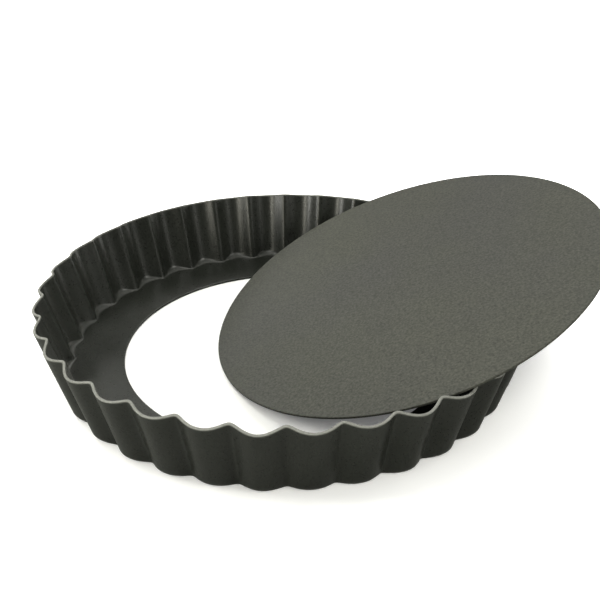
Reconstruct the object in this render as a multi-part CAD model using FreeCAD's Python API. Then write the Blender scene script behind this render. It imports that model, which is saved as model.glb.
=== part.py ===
import FreeCAD, Part
import math
import os

# Fluted tart pan with a loose base.  Lengths in mm, angles in degrees.
# Origin: the ring's axis on the table plane.  +Z is up.  A flute crest points along +X.
# The loose base is shown as it lies before use, leaning through the ring.

# Driving dimensions of the ring
SHEET = 0.6                # thickness of the pressed sheet
FLUTES = 34                # flutes round the wall
RIM_R = 60.0               # outside of the rim at a crest
RIM_H = 18.8               # height of the rim at a valley, its highest points
RIM_DIP = 0.9              # how much lower the rim is at a crest
FLARE = 4.8                # how far the rim stands out past the foot
FLUTE_DEPTH_RIM = 1.9      # crest to valley at the rim
FLUTE_DEPTH_FOOT = 2.2     # crest to valley at the foot
VALLEY_SOFTNESS = 0.13     # 0 is a knife-edged valley, larger is rounder
BEND_VALLEY = 1.0          # outside radius of the foot bend at a valley
BEND_CREST = 2.6           # outside radius of the foot bend at a crest
LEDGE_WIDTH = 12.8         # from the foot of a valley in to the opening
LEDGE_EDGE = 0.15          # rounding of the opening's two edges

# Driving dimensions of the loose base
BASE_SHEET = 0.6
BASE_PLAY = 3.5            # space between the base's edge and the foot of a valley
BASE_EDGE = 0.15           # rounding of its rim
LEAN_TOWARDS = 5.9         # direction in which it rises, from +X towards +Y
LOW_EDGE_INSET = 23.3      # its low edge lies this far inside the opening's edge
LOW_EDGE_TOWARDS = 188.5   # direction of its low edge, from +X towards +Y
TABLE_GAP = 0.12           # air left under its low edge
RIM_GAP = 0.95             # air left between it and the rim's highest points

# Points across one flute, closer together at the valleys
ACROSS = 16

# Sizes that follow
PITCH = 360.0 / FLUTES
FOOT_CREST_R = RIM_R - FLARE
FOOT_VALLEY_R = FOOT_CREST_R - FLUTE_DEPTH_FOOT
RIM_VALLEY_R = RIM_R - FLUTE_DEPTH_RIM
OPENING_R = FOOT_VALLEY_R - LEDGE_WIDTH
BASE_R = FOOT_VALLEY_R - BASE_PLAY


def arch(u):
    """Height of the flute's arch, 0 at the valleys u = 0 and u = 1, and 1 at the crest."""
    soft = VALLEY_SOFTNESS
    rise = math.sqrt(math.sin(math.pi * u) ** 2 + soft ** 2) - soft
    return rise / (math.sqrt(1.0 + soft ** 2) - soft)


def blend(valley, crest, s):
    return valley + (crest - valley) * s


def section(s):
    """Outside of the sheet as (radius, height): toe and corner of the bend, its end, and the rim."""
    foot_r = blend(FOOT_VALLEY_R, FOOT_CREST_R, s)
    rim_r = blend(RIM_VALLEY_R, RIM_R, s)
    rim_h = RIM_H - RIM_DIP * s
    slope = math.atan2(rim_h, rim_r - foot_r)
    tangent = blend(BEND_VALLEY, BEND_CREST, s) * math.tan(slope / 2.0)
    toe = (foot_r - tangent, 0.0)
    corner = (foot_r, 0.0)
    end = (foot_r + tangent * math.cos(slope), tangent * math.sin(slope))
    return [toe, corner, end, (rim_r, rim_h)]


def polar(r, turn, z):
    """Point at `turn` pitches from the crest on +X."""
    a = math.radians(turn * PITCH)
    return FreeCAD.Vector(r * math.cos(a), r * math.sin(a), z)


def outside(u):
    s = arch(u)
    return [polar(r, u - 0.5, z) for r, z in section(s)]


def steps_across():
    return [0.5 - 0.5 * math.cos(math.pi * j / ACROSS) for j in range(ACROSS + 1)]


def skins():
    """Rows of points along one flute's toe, corner, bend end and rim, outside and inside."""
    outer = [[], [], [], []]
    inner = [[], [], [], []]
    tiny = 1e-4
    up = FreeCAD.Vector(0, 0, SHEET)
    for u in steps_across():
        toe, corner, end, rim = outside(u)
        before = outside(u - tiny)
        after = outside(u + tiny)
        climb = rim - end
        in_toe = toe + up
        in_end = end - (after[2] - before[2]).cross(climb).normalize() * SHEET
        in_rim = rim - (after[3] - before[3]).cross(climb).normalize() * SHEET
        in_corner = in_end - (end - corner) * ((in_end.z - SHEET) / end.z)
        for rows, points in ((outer, (toe, corner, end, rim)), (inner, (in_toe, in_corner, in_end, in_rim))):
            for row, point in zip(rows, points):
                row.append(point)
    return outer, inner


def curve_through(points):
    curve = Part.BSplineCurve()
    curve.interpolate(Points=points, Parameters=steps_across())
    return curve


def patch(rows, middle_weight=None):
    """Surface whose rows of poles follow the curves: ruled from two, an arc from three."""
    curves = [curve_through(row) for row in rows]
    poles = [list(column) for column in zip(*[c.getPoles() for c in curves])]
    weights = [1.0] * len(rows)
    if middle_weight:
        weights[1] = middle_weight
    surface = Part.BSplineSurface()
    surface.buildFromPolesMultsKnots(
        poles,
        curves[0].getMultiplicities(),
        [len(rows), len(rows)],
        curves[0].getKnots(),
        [0.0, 1.0],
        False,
        False,
        curves[0].Degree,
        len(rows) - 1,
        [weights] * len(poles),
    )
    return surface


def turned(shape, k):
    copy = shape.copy()
    copy.rotate(FreeCAD.Vector(0, 0, 0), FreeCAD.Vector(0, 0, 1), k * PITCH)
    return copy


def ring_of(edge):
    return Part.Wire([turned(edge, k) for k in range(FLUTES)])


def ledge_face(edge, z):
    hole = Part.Wire([Part.makeCircle(OPENING_R, FreeCAD.Vector(0, 0, z))])
    return Part.makeFace([ring_of(edge), hole], "Part::FaceMakerBullseye")


def fluted_ring():
    outer, inner = skins()
    slope = math.atan2(RIM_H, RIM_VALLEY_R - FOOT_VALLEY_R)
    flute = [
        patch(outer[:3], math.cos(slope / 2.0)).toShape(),
        patch(outer[2:]).toShape(),
        patch(inner[:3], math.cos(slope / 2.0)).toShape(),
        patch(inner[2:]).toShape(),
        patch([outer[3], inner[3]]).toShape(),
    ]
    faces = []
    for k in range(FLUTES):
        for face in flute:
            faces.append(turned(face, k))
    faces.append(ledge_face(curve_through(outer[0]).toShape(), 0.0))
    faces.append(ledge_face(curve_through(inner[0]).toShape(), SHEET))
    wall = Part.makeCylinder(OPENING_R, SHEET).Faces
    faces.append([f for f in wall if isinstance(f.Surface, Part.Cylinder)][0])
    shell = Part.makeShell(faces)
    shell.sewShape(1e-4)
    solid = Part.makeSolid(shell.Shells[0])
    if solid.Volume < 0:
        solid.reverse()
    rims = [e for e in solid.Edges if isinstance(e.Curve, Part.Circle)]
    return solid.makeFillet(LEDGE_EDGE, rims)


def base_frame(lean):
    """Centre of the base's underside and its unit vectors (uphill, sideways, up)."""
    a = math.radians(LEAN_TOWARDS)
    t = math.radians(lean)
    side = FreeCAD.Vector(-math.sin(a), math.cos(a), 0)
    uphill = FreeCAD.Vector(math.cos(a) * math.cos(t), math.sin(a) * math.cos(t), math.sin(t))
    up = uphill.cross(side)
    b = math.radians(LOW_EDGE_TOWARDS)
    inset = OPENING_R - LOW_EDGE_INSET
    low_edge = FreeCAD.Vector(inset * math.cos(b), inset * math.sin(b), TABLE_GAP)
    centre = low_edge + uphill * BASE_R
    return centre, uphill, side, up


def rim_tips():
    """Highest points of the rim, one at each valley."""
    tips = []
    for k in range(FLUTES):
        for r in (RIM_VALLEY_R, RIM_VALLEY_R - SHEET):
            tips.append(polar(r, k + 0.5, RIM_H))
    return tips


def clearance(lean):
    """Least air between the base's underside and the rim's tips below it."""
    centre, uphill, side, up = base_frame(lean)
    gaps = []
    for tip in rim_tips():
        along = tip - centre
        if math.hypot(along.dot(uphill), along.dot(side)) < BASE_R:
            gaps.append(-along.dot(up))
    return min(gaps)


def lean_angle():
    """Angle at which the base stands on the table and lies on the rim."""
    low = 5.0
    high = 45.0
    for _ in range(60):
        middle = (low + high) / 2.0
        if clearance(middle) < RIM_GAP:
            low = middle
        else:
            high = middle
    return high


def loose_base():
    disc = Part.makeCylinder(BASE_R, BASE_SHEET)
    disc = disc.makeFillet(BASE_EDGE, [e for e in disc.Edges if isinstance(e.Curve, Part.Circle)])
    centre, uphill, side, up = base_frame(lean_angle())
    place = FreeCAD.Matrix(
        uphill.x, side.x, up.x, centre.x,
        uphill.y, side.y, up.y, centre.y,
        uphill.z, side.z, up.z, centre.z,
        0, 0, 0, 1,
    )
    disc.Placement = FreeCAD.Placement(place)
    return disc


os.makedirs("parts", exist_ok=True)
fluted_ring().exportStep("parts/fluted_ring.step")
loose_base().exportStep("parts/loose_base.step")
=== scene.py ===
import math
import random

import bmesh
import bpy
import numpy
from bpy.props import (
    FloatProperty,
    FloatVectorProperty,
    IntProperty,
    PointerProperty,
)
from mathutils import Matrix, Vector


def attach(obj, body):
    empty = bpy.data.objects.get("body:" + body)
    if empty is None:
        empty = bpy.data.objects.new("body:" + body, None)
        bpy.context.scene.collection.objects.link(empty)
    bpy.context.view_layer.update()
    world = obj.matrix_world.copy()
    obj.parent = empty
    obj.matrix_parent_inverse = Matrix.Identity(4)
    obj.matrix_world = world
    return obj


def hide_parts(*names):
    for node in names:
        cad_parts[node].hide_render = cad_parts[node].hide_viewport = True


bl_info = {
    "name": "Fluted Tart Pan",
    "version": (1, 0, 0),
    "blender": (4, 5, 0),
    "location": "View3D > Sidebar > Tart Pan",
    "description": "Builds a fluted tart ring with its loose base, and a plain studio round them",
    "category": "Add Mesh",
}

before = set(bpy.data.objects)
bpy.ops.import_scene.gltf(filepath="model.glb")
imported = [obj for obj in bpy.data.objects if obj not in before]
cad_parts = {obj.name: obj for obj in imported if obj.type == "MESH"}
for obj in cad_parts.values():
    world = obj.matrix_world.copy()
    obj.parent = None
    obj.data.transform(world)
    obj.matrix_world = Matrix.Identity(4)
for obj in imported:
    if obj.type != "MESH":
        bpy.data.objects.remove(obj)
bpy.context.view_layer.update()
MM = 0.001
LEDGE_SAMPLE = 5 * MM


def node_points(node):
    """Vertices of a CAD node as rows of x, y, z."""
    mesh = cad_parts[node].data
    flat = numpy.zeros(len(mesh.vertices) * 3)
    mesh.vertices.foreach_get("co", flat)
    return flat.reshape(-1, 3)


def ring_sizes():
    """Rim radius, opening radius and sheet thickness, read off the CAD ring."""
    points = node_points("fluted_ring")
    radii = numpy.hypot(points[:, 0], points[:, 1])
    ledge = points[radii < radii.min() + LEDGE_SAMPLE]
    return float(radii.max()), float(radii.min()), float(ledge[:, 2].max())


def base_sizes():
    """Centre, three unit axes, radius and thickness of the CAD base; the last axis is its upper side."""
    points = node_points("loose_base")
    centre = (points.max(axis=0) + points.min(axis=0)) / 2.0
    for _ in range(2):
        spread = points - centre
        axes = numpy.linalg.eigh(spread.T @ spread)[1]
        up = axes[:, 0] if axes[2, 0] > 0 else -axes[:, 0]
        side = numpy.cross((0.0, 0.0, 1.0), up)
        side /= numpy.linalg.norm(side)
        along = numpy.cross(side, up)
        local = spread @ numpy.stack((along, side, up), axis=1)
        centre = centre + numpy.stack((along, side, up), axis=1) @ (
            (local.max(axis=0) + local.min(axis=0)) / 2.0
        )
    size = local.max(axis=0) - local.min(axis=0)
    return Vector(centre), Vector(along), Vector(side), Vector(up), size[0] / 2.0, size[2]


RIM_R, OPENING_R, SHEET = ring_sizes()
BASE_CENTRE, BASE_ALONG, BASE_SIDE, BASE_UP, BASE_R, BASE_SHEET = base_sizes()
BASE_INSET = 0.04 * MM


def length(name, description, default):
    return FloatProperty(
        name=name, description=description, default=default, subtype="DISTANCE", unit="LENGTH"
    )


def colour(name, description, default):
    return FloatVectorProperty(
        name=name, description=description, default=default, subtype="COLOR", size=3, min=0.0, max=1.0
    )


def share(name, description, default):
    return FloatProperty(
        name=name, description=description, default=default, subtype="FACTOR", min=0.0, max=1.0
    )


def angle(name, description, default):
    return FloatProperty(name=name, description=description, default=default, subtype="ANGLE")


class RingSettings(bpy.types.PropertyGroup):
    """Shape and finish of the fluted ring."""

    flutes: IntProperty(name="Flutes", description="Flutes round the wall", default=34, min=8)
    rim_radius: length("Rim radius", "Outside of the rim at a crest", RIM_R)
    rim_height: length("Rim height", "Height of the rim at a valley, outside", 18.8 * MM)
    rim_dip: length("Rim dip", "How much lower the rim is at a crest", 0.9 * MM)
    flare: length("Flare", "How far the rim stands out past the foot", 4.8 * MM)
    depth_rim: length("Rim flute depth", "Crest to valley at the rim", 1.9 * MM)
    depth_foot: length("Foot flute depth", "Crest to valley at the foot", 2.2 * MM)
    bend_valley: length("Valley bend", "Outside radius of the foot bend at a valley", 1.0 * MM)
    bend_crest: length("Crest bend", "Outside radius of the foot bend at a crest", 2.6 * MM)
    softness: share("Valley softness", "0 is a knife-edged valley, larger is rounder", 0.19)
    opening_radius: length("Opening radius", "The round opening in the ledge", OPENING_R)
    sheet: length("Sheet", "Thickness of the pressed sheet", SHEET)
    edge: length("Edge rounding", "Rounding of the cut edges", 0.13 * MM)
    unevenness: share("Unevenness", "How much the pressed flutes differ from one another", 0.12)
    coat: colour("Coating", "Colour of the release coating", (0.0128, 0.0143, 0.0115))
    # Also the colour of the painted highlight along the foot bend, where it is mixed in weakly.
    cut_edge_and_fold_highlight: colour("Cut edge", "Thinly coated steel along the trimmed rim", (0.21, 0.214, 0.195))


class BaseSettings(bpy.types.PropertyGroup):
    """Shape and finish of the loose base."""

    radius: length("Radius", "Radius of the base", BASE_R - BASE_INSET)
    sheet: length("Sheet", "Thickness of the base", BASE_SHEET)
    edge: length("Edge rounding", "Rounding of its rim", 0.13 * MM)
    bow: length("Bow", "How far the sheet is out of flat", 0.10 * MM)
    coat: colour("Coating", "Colour of the release coating", (0.0385, 0.0397, 0.0328))
    grain: length("Grain", "Size of the coating's fine grain", 0.55 * MM)


class StageSettings(bpy.types.PropertyGroup):
    """Camera, lights and ground."""

    lens: FloatProperty(name="Lens", description="Focal length", default=51.97, unit="CAMERA", min=10.0)
    camera_back: length("Camera distance", "Level distance from the ring's axis", 187.3 * MM)
    camera_height: length("Camera height", "Height above the table", 115.7 * MM)
    camera_down: angle("Down", "Angle below level", 0.4979)
    camera_right: angle("Right", "Turn towards +X", 0.0194)
    camera_roll: angle("Roll", "Turn about the view", -0.0016)
    light_colour: colour("Lamps", "Colour of the lamps", (1.0, 0.995, 0.93))
    warm_colour: colour("Warm lamp", "Colour of the lamp at the front left", (1.0, 0.975, 0.84))
    power: FloatProperty(name="Power", description="Strength of all lamps", default=1.0, min=0.0)
    ground: colour("Ground", "Colour of the ground as it is seen", (0.9, 0.9, 0.9))
    bounce: colour("Bounce", "Colour of the light that the ground throws back", (0.27, 0.275, 0.26))
    near_glow: share("Near glow", "How far the camera sees the ground inside the ring lightened", 0.12)
    far_glow: share("Far glow", "How far the camera sees the ground round the ring lightened", 1.0)


# Mesh helpers


SAME_POINT = 1e-7


def new_piece(name, bm, body, node, materials):
    """Turns a finished bmesh into an object that rides on a body and stands for a CAD node."""
    mesh = bpy.data.meshes.new(name)
    bm.to_mesh(mesh)
    bm.free()
    for material in materials:
        mesh.materials.append(material)
    piece = bpy.data.objects.new(name, mesh)
    bpy.context.scene.collection.objects.link(piece)
    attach(piece, body)
    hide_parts(node)
    return piece


def spin_section(bm, verts, steps):
    """Turns a line of vertices once round the Z axis."""
    edges = [bm.edges.new(pair) for pair in zip(verts, verts[1:])]
    bmesh.ops.spin(
        bm,
        geom=verts + edges,
        cent=(0.0, 0.0, 0.0),
        axis=(0.0, 0.0, 1.0),
        dvec=(0.0, 0.0, 0.0),
        angle=math.tau,
        steps=steps,
        use_merge=True,
        use_duplicate=False,
    )


# The fluted ring

FLUTE_SEED = 11
STEPS_PER_FLUTE = 26
VALLEY_CROWDING = 0.72
SAME_TURN = 1e-6
LEDGE_STOPS = (0.0, 0.02, 0.06, 0.3, 0.6, 0.85, 0.96)
BEND_STEPS = 7
# Painted highlight along the foot bend: shares of the pale edge colour, one per bend station from the
# ledge up.
BEND_HIGHLIGHT = (0.0, 0.05, 0.1, 0.12, 0.1, 0.07, 0.04, 0.0)
BELOW_RIM_BARE = 0.55
CUT_EDGE_ANGLE = math.radians(60.0)
WALL_STOPS = (0.07, 0.2, 0.4, 0.6, 0.8, 0.92, 0.975, 0.99, 1.0)


def arch(u, softness):
    """Height of a flute's arch, 0 at the valleys u = 0 and u = 1, and 1 at the crest."""
    rise = math.sqrt(math.sin(math.pi * u) ** 2 + softness ** 2) - softness
    return rise / (math.sqrt(1.0 + softness ** 2) - softness)


def sheet_section(ring, s, dip):
    """Outside of the sheet as (radius, height) pairs from the opening to the rim."""
    foot_crest = ring.rim_radius - ring.flare
    foot_r = foot_crest - ring.depth_foot * (1.0 - s)
    rim_r = ring.rim_radius - ring.depth_rim * (1.0 - s)
    rim_h = ring.rim_height - dip * s
    bend = ring.bend_valley + (ring.bend_crest - ring.bend_valley) * s
    slope = math.atan2(rim_h, rim_r - foot_r)
    toe = foot_r - bend * math.tan(slope / 2.0)
    pairs = [(ring.opening_radius + (toe - ring.opening_radius) * stop, 0.0) for stop in LEDGE_STOPS]
    for k in range(BEND_STEPS + 1):
        a = slope * k / BEND_STEPS
        pairs.append((toe + bend * math.sin(a), bend * (1.0 - math.cos(a))))
    start_r, start_h = pairs[-1]
    for stop in WALL_STOPS:
        pairs.append((start_r + (rim_r - start_r) * stop, start_h + (rim_h - start_h) * stop))
    return pairs


def flute_habits(ring):
    """How far each flute falls short of full depth, and its own rim dip; the press isn't perfect."""
    chance = random.Random(FLUTE_SEED)
    habits = []
    for _ in range(ring.flutes):
        short = ring.unevenness * chance.random()
        dip = ring.rim_dip * (1.0 + 0.5 * ring.unevenness * chance.uniform(-1.0, 1.0))
        habits.append((short, dip))
    return habits


def press_flutes(bm, station, ring):
    """Moves every vertex of the spun sheet to its place on the fluted wall."""
    habits = flute_habits(ring)
    for vert in bm.verts:
        turn = math.atan2(vert.co.y, vert.co.x) / math.tau * ring.flutes + 0.5
        number = math.floor(turn + SAME_TURN)
        u = turn - number
        u -= VALLEY_CROWDING * math.sin(math.tau * u) / math.tau
        short, dip = habits[number % ring.flutes]
        s = arch(u, ring.softness) * (1.0 - short * math.sin(math.pi * u) ** 2)
        r, z = sheet_section(ring, s, dip)[vert[station]]
        a = (number + u - 0.5) / ring.flutes * math.tau
        vert.co = (r * math.cos(a), r * math.sin(a), z)


def mark_pale_rim_and_fold_highlight(bm, layer, station, last):
    """Stores how pale the coat is: 1 at the trimmed rim, where the coating is thin, less at the foot
    bend, where it is a painted highlight along the fold, 0 elsewhere.
    """
    paleness = {last: 1.0, last - 1: BELOW_RIM_BARE}
    for step, highlight_share in enumerate(BEND_HIGHLIGHT):
        paleness[len(LEDGE_STOPS) + step] = highlight_share
    for vert in bm.verts:
        vert[layer] = paleness.get(vert[station], 0.0)


def round_cut_edges(bm, ring):
    """Rounds the two edges of the rim and the two of the opening."""
    sharp = [e for e in bm.edges if e.is_manifold and e.calc_face_angle() > CUT_EDGE_ANGLE]
    bmesh.ops.bevel(
        bm,
        geom=sharp,
        offset=ring.edge,
        offset_type="OFFSET",
        segments=3,
        profile=0.5,
        affect="EDGES",
        material=-1,
    )


def fluted_sheet(ring):
    """The whole ring: a spun outside skin, fluted, given its thickness and rounded at its cut edges."""
    bm = bmesh.new()
    station = bm.verts.layers.int.new("station")
    # Per vertex: pale thinly coated rim, and a painted highlight along the foot bend.
    pale_rim_and_highlight = bm.verts.layers.float.new("rim_and_fold_highlight")
    verts = []
    for number, (r, z) in enumerate(sheet_section(ring, 0.5, ring.rim_dip)):
        vert = bm.verts.new((r, 0.0, z))
        vert[station] = number
        verts.append(vert)
    last = len(verts) - 1
    spin_section(bm, verts, ring.flutes * STEPS_PER_FLUTE)
    press_flutes(bm, station, ring)
    bmesh.ops.recalc_face_normals(bm, faces=bm.faces)
    bm.normal_update()
    outward = sum(f.normal.dot(Vector((*f.calc_center_median().xy, 0.0))) for f in bm.faces)
    if outward < 0.0:
        bmesh.ops.reverse_faces(bm, faces=bm.faces)
    bmesh.ops.solidify(bm, geom=bm.faces[:], thickness=ring.sheet)
    mark_pale_rim_and_fold_highlight(bm, pale_rim_and_highlight, station, last)
    round_cut_edges(bm, ring)
    bmesh.ops.recalc_face_normals(bm, faces=bm.faces)
    bm.verts.layers.int.remove(station)
    for face in bm.faces:
        face.smooth = True
    return bm


# The loose base

BASE_STEPS = 224
BASE_STOPS = (0.0, 0.12, 0.24, 0.36, 0.48, 0.6, 0.7, 0.8, 0.88, 0.94, 0.975, 0.992)
ROUND_STEPS = 3
BOW_MEAN = 0.65
BOW_SWING = 0.35
BOW_TURN = 0.7


def base_section(base):
    """Half of the base cut through its middle, from the centre of the underside to that of the top."""
    flat = base.radius - base.edge
    pairs = [(flat * stop, 0.0) for stop in BASE_STOPS]
    for k in range(ROUND_STEPS + 1):
        a = math.radians(90.0) * k / ROUND_STEPS
        pairs.append((flat + base.edge * math.sin(a), base.edge * (1.0 - math.cos(a))))
    for k in range(ROUND_STEPS + 1):
        a = math.radians(90.0) * k / ROUND_STEPS
        pairs.append((flat + base.edge * math.cos(a), base.sheet - base.edge * (1.0 - math.sin(a))))
    pairs += [(flat * stop, base.sheet) for stop in reversed(BASE_STOPS)]
    return pairs


def bow_of(base, r, turn):
    """Height that the rolled sheet stands out of flat, none at its rim."""
    inwards = max(0.0, 1.0 - (r / base.radius) ** 2)
    swing = BOW_MEAN + BOW_SWING * math.cos(2.0 * turn + BOW_TURN)
    return base.bow * inwards * swing


def loose_sheet(base):
    """The whole base: a spun disc, bowed a little and turned to the lean of the CAD base."""
    bm = bmesh.new()
    verts = [bm.verts.new((r, 0.0, z)) for r, z in base_section(base)]
    spin_section(bm, verts, BASE_STEPS)
    bmesh.ops.remove_doubles(bm, verts=bm.verts, dist=SAME_POINT)
    for vert in bm.verts:
        vert.co.z += bow_of(base, vert.co.xy.length, math.atan2(vert.co.y, vert.co.x))
    bmesh.ops.recalc_face_normals(bm, faces=bm.faces)
    place = Matrix((BASE_ALONG, BASE_SIDE, BASE_UP)).transposed().to_4x4()
    place.translation = BASE_CENTRE - BASE_UP * (base.sheet / 2.0)
    bmesh.ops.transform(bm, matrix=place, verts=bm.verts)
    for face in bm.faces:
        face.smooth = True
    return bm


# Materials

# Tones are factors on the coating's colour, from the darkest grain or cloud to the palest.
RING_GRAIN_SCALE = 2100.0
RING_CLOUD_SCALE = 45.0
RING_CLOUD_TONES = (0.86, 1.16)
RING_GRAIN_TONES = (0.68, 1.32)
RING_ROUGHNESS = (0.26, 0.36)
BARE_ROUGHNESS = 0.5
BARE_FULLY_ROUGH = 0.12
# Grain break-up of the pale rim's wear and of the painted highlight along the foot bend.
WEAR_AND_HIGHLIGHT_PATCHES = (0.65, 1.0)
BASE_CLOUD_SCALE = 26.0
BASE_OLIVE = (1.05, 1.06, 0.97)
BASE_GREY = (0.95, 0.94, 1.02)
BASE_GRAIN_TONES = (0.35, 1.65)
BASE_ROUGHNESS = (0.58, 0.66)
GLOW_REACH = (52.0 * MM, 82.0 * MM)


def add(nodes, kind, **values):
    """New shader node; values set its attributes, or its inputs where it has no such attribute."""
    node = nodes.new(kind)
    for key, value in values.items():
        if hasattr(node, key):
            setattr(node, key, value)
        else:
            node.inputs[key.replace("_", " ")].default_value = value
    return node


def node_group(name, inputs, outputs):
    """Empty node group with float sockets; returns it with its input and output nodes."""
    group = bpy.data.node_groups.new(name, "ShaderNodeTree")
    for label, default in inputs:
        socket = group.interface.new_socket(label, in_out="INPUT", socket_type="NodeSocketFloat")
        socket.default_value = default
    for label in outputs:
        group.interface.new_socket(label, in_out="OUTPUT", socket_type="NodeSocketFloat")
    return group, group.nodes.new("NodeGroupInput"), group.nodes.new("NodeGroupOutput")


def coating_grain_group():
    """Fine spatter of a sprayed release coating: its tone, its clouding and its height."""
    group, inlet, outlet = node_group(
        "Sprayed coating", [("Grain scale", 1800.0), ("Cloud scale", 30.0)], ["Grain", "Cloud", "Height"]
    )
    nodes, links = group.nodes, group.links
    place = add(nodes, "ShaderNodeTexCoord")
    fine = add(nodes, "ShaderNodeTexNoise", Detail=3.0, Roughness=0.65)
    cloud = add(nodes, "ShaderNodeTexNoise", Detail=4.0, Roughness=0.55)
    peel = add(nodes, "ShaderNodeTexNoise", Detail=1.0, Roughness=0.4)
    half = add(nodes, "ShaderNodeMath", operation="MULTIPLY")
    half.inputs[1].default_value = 0.45
    mix = add(nodes, "ShaderNodeMath", operation="ADD")
    for noise in (fine, cloud, peel):
        links.new(place.outputs["Object"], noise.inputs["Vector"])
    links.new(inlet.outputs["Grain scale"], fine.inputs["Scale"])
    links.new(inlet.outputs["Grain scale"], half.inputs[0])
    links.new(half.outputs[0], peel.inputs["Scale"])
    links.new(inlet.outputs["Cloud scale"], cloud.inputs["Scale"])
    links.new(fine.outputs["Fac"], mix.inputs[0])
    links.new(peel.outputs["Fac"], mix.inputs[1])
    links.new(fine.outputs["Fac"], outlet.inputs["Grain"])
    links.new(cloud.outputs["Fac"], outlet.inputs["Cloud"])
    links.new(mix.outputs[0], outlet.inputs["Height"])
    return group


def material_with_shader(name):
    """New material with one Principled shader; returns it with its nodes, links and shader."""
    material = bpy.data.materials.new(name)
    material.use_nodes = True
    nodes = material.node_tree.nodes
    nodes.clear()
    shader = nodes.new("ShaderNodeBsdfPrincipled")
    output = nodes.new("ShaderNodeOutputMaterial")
    material.node_tree.links.new(shader.outputs[0], output.inputs[0])
    return material, nodes, material.node_tree.links, shader


def ranged(nodes, links, source, low, high, start=0.3, stop=0.7):
    """Value that goes from low to high as the source goes from start to stop."""
    spread = add(nodes, "ShaderNodeMapRange")
    spread.inputs["From Min"].default_value = start
    spread.inputs["From Max"].default_value = stop
    spread.inputs["To Min"].default_value = low
    spread.inputs["To Max"].default_value = high
    links.new(source, spread.inputs["Value"])
    return spread.outputs["Result"]


def mixed(nodes, links, factor, first, second):
    """Colour between two colours or colour sockets, by a factor socket."""
    mix = add(nodes, "ShaderNodeMix", data_type="RGBA")
    links.new(factor, mix.inputs["Factor"])
    for value, socket in ((first, mix.inputs[6]), (second, mix.inputs[7])):
        if isinstance(value, bpy.types.NodeSocket):
            links.new(value, socket)
        else:
            socket.default_value = value
    return mix.outputs[2]


def multiplied(nodes, links, first, second):
    """Product of two colour sockets."""
    mix = add(nodes, "ShaderNodeMix", data_type="RGBA", blend_type="MULTIPLY")
    mix.inputs["Factor"].default_value = 1.0
    links.new(first, mix.inputs[6])
    links.new(second, mix.inputs[7])
    return mix.outputs[2]


def scaled(rgb, factor=1.0):
    """Colour times a factor, with full alpha."""
    return (rgb[0] * factor, rgb[1] * factor, rgb[2] * factor, 1.0)


def tinted(rgb, tint):
    """Colour times another colour, with full alpha."""
    return (rgb[0] * tint[0], rgb[1] * tint[1], rgb[2] * tint[2], 1.0)


def grey(value):
    return (value, value, value, 1.0)


def grain_node(nodes, group, grain, cloud):
    """The shared coating effect, with one material's own scales."""
    node = nodes.new("ShaderNodeGroup")
    node.node_tree = group
    node.inputs["Grain scale"].default_value = grain
    node.inputs["Cloud scale"].default_value = cloud
    return node


def bumped(nodes, links, shader, height, strength, distance):
    """Gives the shader a relief from a height socket."""
    bump = add(nodes, "ShaderNodeBump")
    bump.inputs["Strength"].default_value = strength
    bump.inputs["Distance"].default_value = distance
    links.new(height, bump.inputs["Height"])
    links.new(bump.outputs["Normal"], shader.inputs["Normal"])


def ring_material(ring, group):
    """Dark satin coating, with paler, thinly coated steel along the trimmed rim and a painted highlight
    along the foot bend.
    """
    material, nodes, links, shader = material_with_shader("Dark release coating")
    grain = grain_node(nodes, group, RING_GRAIN_SCALE, RING_CLOUD_SCALE)
    cloud = ranged(nodes, links, grain.outputs["Cloud"], 0.0, 1.0)
    dark_cloud, pale_cloud = (scaled(ring.coat, tone) for tone in RING_CLOUD_TONES)
    clouded = mixed(nodes, links, cloud, dark_cloud, pale_cloud)
    speck = ranged(nodes, links, grain.outputs["Grain"], 0.0, 1.0)
    grains = mixed(nodes, links, speck, *(grey(tone) for tone in RING_GRAIN_TONES))
    coat = multiplied(nodes, links, clouded, grains)
    pale_rim_and_highlight = add(nodes, "ShaderNodeAttribute", attribute_name="rim_and_fold_highlight")
    wear_and_highlight_patches = ranged(nodes, links, grain.outputs["Grain"], *WEAR_AND_HIGHLIGHT_PATCHES)
    amount = add(nodes, "ShaderNodeMath", operation="MULTIPLY")
    links.new(pale_rim_and_highlight.outputs["Fac"], amount.inputs[0])
    links.new(wear_and_highlight_patches, amount.inputs[1])
    # Pale thinly coated steel at the rim; along the foot bend the same colour is a painted highlight.
    colour_out = mixed(nodes, links, amount.outputs[0], coat, scaled(ring.cut_edge_and_fold_highlight))
    links.new(colour_out, shader.inputs["Base Color"])
    satin = ranged(nodes, links, grain.outputs["Grain"], *RING_ROUGHNESS)
    matt = ranged(nodes, links, pale_rim_and_highlight.outputs["Fac"], 0.0, 1.0, 0.0, BARE_FULLY_ROUGH)
    rough = add(nodes, "ShaderNodeMix", data_type="FLOAT")
    links.new(matt, rough.inputs["Factor"])
    links.new(satin, rough.inputs[2])
    rough.inputs[3].default_value = BARE_ROUGHNESS
    links.new(rough.outputs[0], shader.inputs["Roughness"])
    shader.inputs["IOR"].default_value = 1.5
    bumped(nodes, links, shader, grain.outputs["Height"], strength=0.1, distance=0.02 * MM)
    return material


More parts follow.
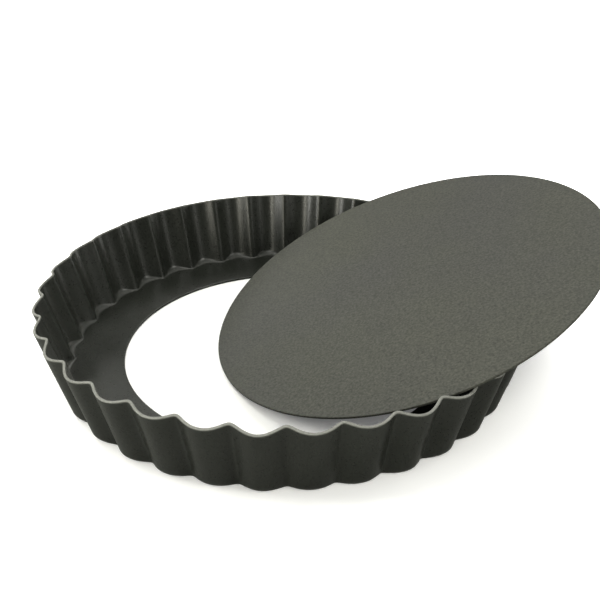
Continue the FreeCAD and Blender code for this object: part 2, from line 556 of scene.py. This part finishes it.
def base_material(base, group):
    """Warm grey satin coating with a fine grain."""
    material, nodes, links, shader = material_with_shader("Warm grey release coating")
    grain = grain_node(nodes, group, 1.0 / base.grain, BASE_CLOUD_SCALE)
    speck = ranged(nodes, links, grain.outputs["Grain"], 0.0, 1.0)
    cloud = ranged(nodes, links, grain.outputs["Cloud"], 0.0, 1.0)
    clouded = mixed(nodes, links, cloud, tinted(base.coat, BASE_GREY), tinted(base.coat, BASE_OLIVE))
    grains = mixed(nodes, links, speck, *(grey(tone) for tone in BASE_GRAIN_TONES))
    links.new(multiplied(nodes, links, clouded, grains), shader.inputs["Base Color"])
    rough = ranged(nodes, links, grain.outputs["Grain"], *BASE_ROUGHNESS)
    links.new(rough, shader.inputs["Roughness"])
    shader.inputs["IOR"].default_value = 1.45
    bumped(nodes, links, shader, grain.outputs["Height"], strength=0.3, distance=0.03 * MM)
    return material


def ground_material(stage):
    """Plain pale ground; it throws back less light than is seen, and looks lightened round the ring."""
    material, nodes, links, shader = material_with_shader("Pale ground")
    seen = add(nodes, "ShaderNodeLightPath").outputs["Is Camera Ray"]
    tint = mixed(nodes, links, seen, scaled(stage.bounce), scaled(stage.ground))
    links.new(tint, shader.inputs["Base Color"])
    shader.inputs["Roughness"].default_value = 0.9
    shader.inputs["Specular IOR Level"].default_value = 0.1
    place = add(nodes, "ShaderNodeTexCoord")
    distance = add(nodes, "ShaderNodeVectorMath", operation="LENGTH")
    links.new(place.outputs["Object"], distance.inputs[0])
    glow = ranged(nodes, links, distance.outputs["Value"], stage.near_glow, stage.far_glow, *GLOW_REACH)
    visible_glow = add(nodes, "ShaderNodeMath", operation="MULTIPLY")
    links.new(seen, visible_glow.inputs[0])
    links.new(glow, visible_glow.inputs[1])
    links.new(visible_glow.outputs[0], shader.inputs["Emission Strength"])
    shader.inputs["Emission Color"].default_value = (1.0, 1.0, 1.0, 1.0)
    return material


def shared_grain():
    """The coating effect, built once for both pieces."""
    return bpy.data.node_groups.get("Sprayed coating") or coating_grain_group()


# Operators


class TARTPAN_OT_fluted_ring(bpy.types.Operator):
    """Builds the pressed ring with its fluted wall, ledge and trimmed rim"""

    bl_idname = "tartpan.fluted_ring"
    bl_label = "Fluted Ring"

    def execute(self, context):
        ring = context.scene.tartpan_ring
        material = ring_material(ring, shared_grain())
        sheet = fluted_sheet(ring)
        new_piece("fluted_ring_sheet", sheet, "ring", "fluted_ring", [material])
        return {"FINISHED"}


class TARTPAN_OT_loose_base(bpy.types.Operator):
    """Builds the flat loose base where it leans through the ring"""

    bl_idname = "tartpan.loose_base"
    bl_label = "Loose Base"

    def execute(self, context):
        base = context.scene.tartpan_base
        material = base_material(base, shared_grain())
        sheet = loose_sheet(base)
        new_piece("loose_base_sheet", sheet, "base", "loose_base", [material])
        return {"FINISHED"}


LAMP_DISTANCE = 0.8
WARM_LAMP = "front_left"
LAMPS = (
    # name, degrees round from +X, degrees up, side in metres, watts
    ("front_left", 240.0, 10.0, 0.22, 1.6),
    ("low_left", 212.0, 9.0, 0.20, 1.9),
    ("left", 180.0, 25.0, 0.24, 2.9),
    ("left_high", 180.0, 66.0, 0.26, 2.8),
    ("front_high", 270.0, 45.0, 0.24, 2.5),
    ("front_right", 330.0, 25.0, 0.22, 2.4),
    ("right_low", 30.0, 10.0, 0.22, 2.5),
    ("back_right_high", 60.0, 66.0, 0.24, 1.45),
    ("back", 90.0, 45.0, 0.22, 1.05),
    ("back_left", 120.0, 25.0, 0.22, 1.15),
)


def soft_lamps(stage):
    """Soft square lamps on a dome over the ring, all facing its middle."""
    for name, round_from_x, up, side, watts in LAMPS:
        lamp = bpy.data.lights.new(name, "AREA")
        lamp.shape = "SQUARE"
        lamp.size = side
        lamp.energy = watts * stage.power
        lamp.color = stage.warm_colour if name == WARM_LAMP else stage.light_colour
        light = bpy.data.objects.new(name, lamp)
        a, b = math.radians(round_from_x), math.radians(up)
        outwards = Vector((math.cos(a) * math.cos(b), math.sin(a) * math.cos(b), math.sin(b)))
        place = outwards * LAMP_DISTANCE
        light.location = place
        light.rotation_euler = (-place).to_track_quat("-Z", "Y").to_euler()
        bpy.context.scene.collection.objects.link(light)


def studio_camera(stage):
    """Camera in front of the ring, looking down at it."""
    down, right, roll = stage.camera_down, stage.camera_right, stage.camera_roll
    ahead = Vector((math.sin(right) * math.cos(down), math.cos(right) * math.cos(down), -math.sin(down)))
    level = Vector((math.cos(right), -math.sin(right), 0.0))
    above = level.cross(ahead)
    across = math.cos(roll) * level + math.sin(roll) * above
    upright = -math.sin(roll) * level + math.cos(roll) * above
    data = bpy.data.cameras.new("studio_camera")
    data.lens = stage.lens
    data.sensor_width = 36.0
    data.clip_start = 0.01
    camera = bpy.data.objects.new("studio_camera", data)
    pose = Matrix((across, upright, -ahead)).transposed().to_4x4()
    pose.translation = (0.0, -stage.camera_back, stage.camera_height)
    camera.matrix_world = pose
    bpy.context.scene.collection.objects.link(camera)
    bpy.context.scene.camera = camera


SWEEP = ((0.0, 0.0), (0.2, 0.0), (1.5, 0.0), (3.0, 0.0), (3.9, 0.25), (4.6, 0.9), (4.9, 1.9), (5.0, 6.0))
SWEEP_STEPS = 64
GROUND_DROP = 0.02 * MM
SKY_STRENGTH = 0.02


def studio_ground(stage):
    """Round table top that sweeps up to a wall far behind, the same from every side."""
    bm = bmesh.new()
    spin_section(bm, [bm.verts.new((r, 0.0, z - GROUND_DROP)) for r, z in SWEEP], SWEEP_STEPS)
    bmesh.ops.remove_doubles(bm, verts=bm.verts, dist=SAME_POINT)
    mesh = bpy.data.meshes.new("ground")
    bm.to_mesh(mesh)
    bm.free()
    mesh.materials.append(ground_material(stage))
    ground = bpy.data.objects.new("ground", mesh)
    bpy.context.scene.collection.objects.link(ground)


def studio_sky():
    """Faint even light from all round."""
    world = bpy.data.worlds.new("studio")
    world.use_nodes = True
    world.node_tree.nodes["Background"].inputs["Color"].default_value = (1.0, 1.0, 1.0, 1.0)
    world.node_tree.nodes["Background"].inputs["Strength"].default_value = SKY_STRENGTH
    bpy.context.scene.world = world


class TARTPAN_OT_stage(bpy.types.Operator):
    """Sets the pale ground, the soft lights and the camera"""

    bl_idname = "tartpan.stage"
    bl_label = "Studio"

    def execute(self, context):
        stage = context.scene.tartpan_stage
        studio_ground(stage)
        studio_sky()
        soft_lamps(stage)
        studio_camera(stage)
        context.scene.view_settings.view_transform = "Standard"
        return {"FINISHED"}


# Panel


class TARTPAN_PT_panel(bpy.types.Panel):
    """Sizes and colours of the tart pan"""

    bl_idname = "TARTPAN_PT_panel"
    bl_label = "Fluted Tart Pan"
    bl_space_type = "VIEW_3D"
    bl_region_type = "UI"
    bl_category = "Tart Pan"

    def draw(self, context):
        groups = (
            ("Ring", context.scene.tartpan_ring, TARTPAN_OT_fluted_ring),
            ("Loose base", context.scene.tartpan_base, TARTPAN_OT_loose_base),
            ("Studio", context.scene.tartpan_stage, TARTPAN_OT_stage),
        )
        for title, settings, operator in groups:
            box = self.layout.box()
            box.label(text=title)
            for name in settings.__annotations__:
                box.prop(settings, name)
            box.operator(operator.bl_idname)


CLASSES = (
    RingSettings,
    BaseSettings,
    StageSettings,
    TARTPAN_OT_fluted_ring,
    TARTPAN_OT_loose_base,
    TARTPAN_OT_stage,
    TARTPAN_PT_panel,
)


def register():
    for cls in CLASSES:
        bpy.utils.register_class(cls)
    bpy.types.Scene.tartpan_ring = PointerProperty(type=RingSettings)
    bpy.types.Scene.tartpan_base = PointerProperty(type=BaseSettings)
    bpy.types.Scene.tartpan_stage = PointerProperty(type=StageSettings)


def unregister():
    del bpy.types.Scene.tartpan_stage
    del bpy.types.Scene.tartpan_base
    del bpy.types.Scene.tartpan_ring
    for cls in reversed(CLASSES):
        bpy.utils.unregister_class(cls)


def main():
    register()
    bpy.ops.tartpan.fluted_ring()
    bpy.ops.tartpan.loose_base()
    bpy.ops.tartpan.stage()


if __name__ == "__main__":
    main()
